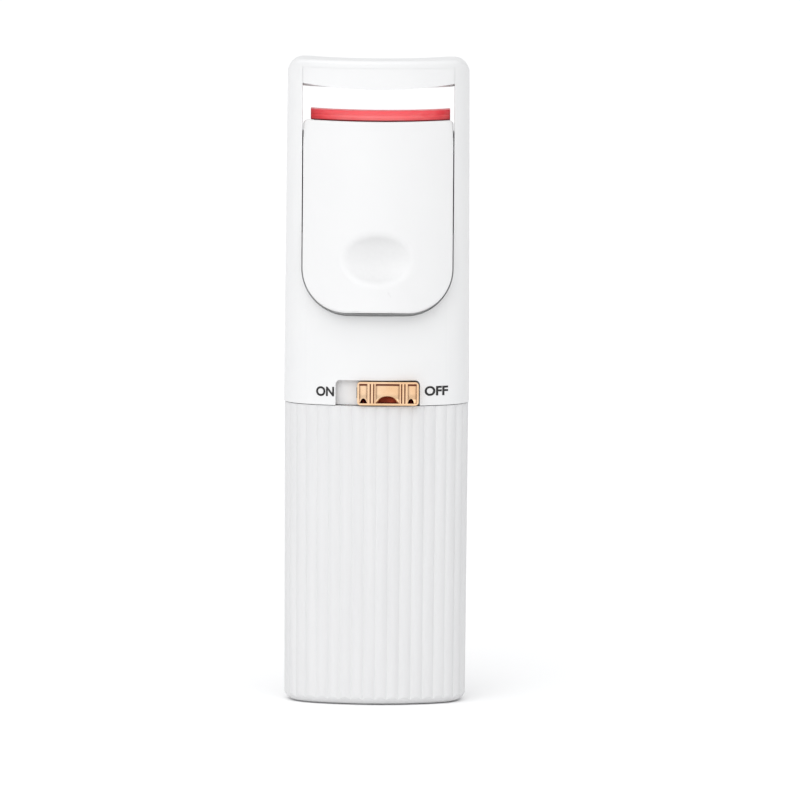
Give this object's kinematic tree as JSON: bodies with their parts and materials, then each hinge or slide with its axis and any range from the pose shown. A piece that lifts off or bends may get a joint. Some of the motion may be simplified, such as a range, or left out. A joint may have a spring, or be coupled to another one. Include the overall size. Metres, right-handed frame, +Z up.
{
  "type": "heated eyelash curler",
  "caption": "Battery heated eyelash curler: oval upright body with a pull-off ribbed grip, a slide switch and a press lever that lifts a heated pad to the jaw.",
  "frame": {"origin": "middle of the base on which it stands", "axes": "+Z up along the body, -Y the lever's side, +Y the eye side, +X to the right seen from the lever's side"},
  "size_m": [0.0372, 0.0252, 0.13],
  "materials": {
    "shell_white": "satin moulded",
    "lever_white": "satin moulded",
    "sleeve_white": "satin ribbed",
    "jaw_white": "matt",
    "carriage_white": "matt",
    "silicone_red": "translucent silicone",
    "film_amber": "polyimide film",
    "knob_gold": "rose gold plated",
    "track_grey": "frosted",
    "switch_black": "moulded",
    "board_green": "solder mask",
    "chip_black": "epoxy",
    "steel": "drawn",
    "contact_nickel": "nickel plated",
    "cell_sleeve": "printed sleeve",
    "lead_red": "insulated wire",
    "lead_black": "insulated wire",
    "tray_white": "matt"
  },
  "bodies": {
    "head": {"back_shell": "shell_white", "battery_lead_left": "lead_red", "battery_lead_right": "lead_black", "battery_left": "cell_sleeve", "battery_right": "cell_sleeve", "battery_tray": "tray_white", "circuit_board": "board_green", "contact_plate_left": "contact_nickel", "contact_plate_low": "contact_nickel", "contact_plate_right": "contact_nickel", "contact_spring_left": "contact_nickel", "contact_spring_right": "contact_nickel", "control_chip": "chip_black", "front_shell": "shell_white", "guide_rod_left": "steel", "guide_rod_right": "steel", "heater_lead_left": "lead_red", "heater_lead_right": "lead_black", "lever_pin_left": "steel", "lever_pin_right": "steel", "return_spring_left": "steel", "return_spring_right": "steel", "shell_screw_left": "steel", "shell_screw_right": "steel", "switch_body": "switch_black", "switch_track": "track_grey", "upper_jaw_plate": "jaw_white"},
    "lever": {"press_lever": "lever_white"},
    "carriage": {"jaw_carriage": "carriage_white", "heating_film": "film_amber", "silicone_pad": "silicone_red"},
    "knob": {"switch_knob": "knob_gold", "switch_actuator": "switch_black"},
    "sleeve": {"grip_sleeve": "sleeve_white"}
  },
  "joints": [
    {"name": "lever_press", "type": "hinge", "parent": "head", "child": "lever", "pos_m": [0, -0.0046, 0.112], "axis": [1, 0, 0], "range_deg": [0, 6], "stiffness_Nm_per_rad": 0.12, "springref_deg": -8.59},
    {"name": "jaw_lift", "type": "slide", "parent": "head", "child": "carriage", "axis": [0, 0, 1], "range_m": [0, 0.0041], "deforming": ["return_spring_left", "return_spring_right", "heater_lead_left", "heater_lead_right"]},
    {"name": "switch_slide", "type": "slide", "parent": "head", "child": "knob", "axis": [-1, 0, 0], "range_m": [0, 0.0041]},
    {"name": "sleeve_pull", "type": "slide", "parent": "head", "child": "sleeve", "axis": [0, 0, -1], "range_m": [0, 0.06]}
  ],
  "couplings": [
    {"joint": "jaw_lift", "follows": "lever_press", "m_per_rad": 0.039152}
  ]
}
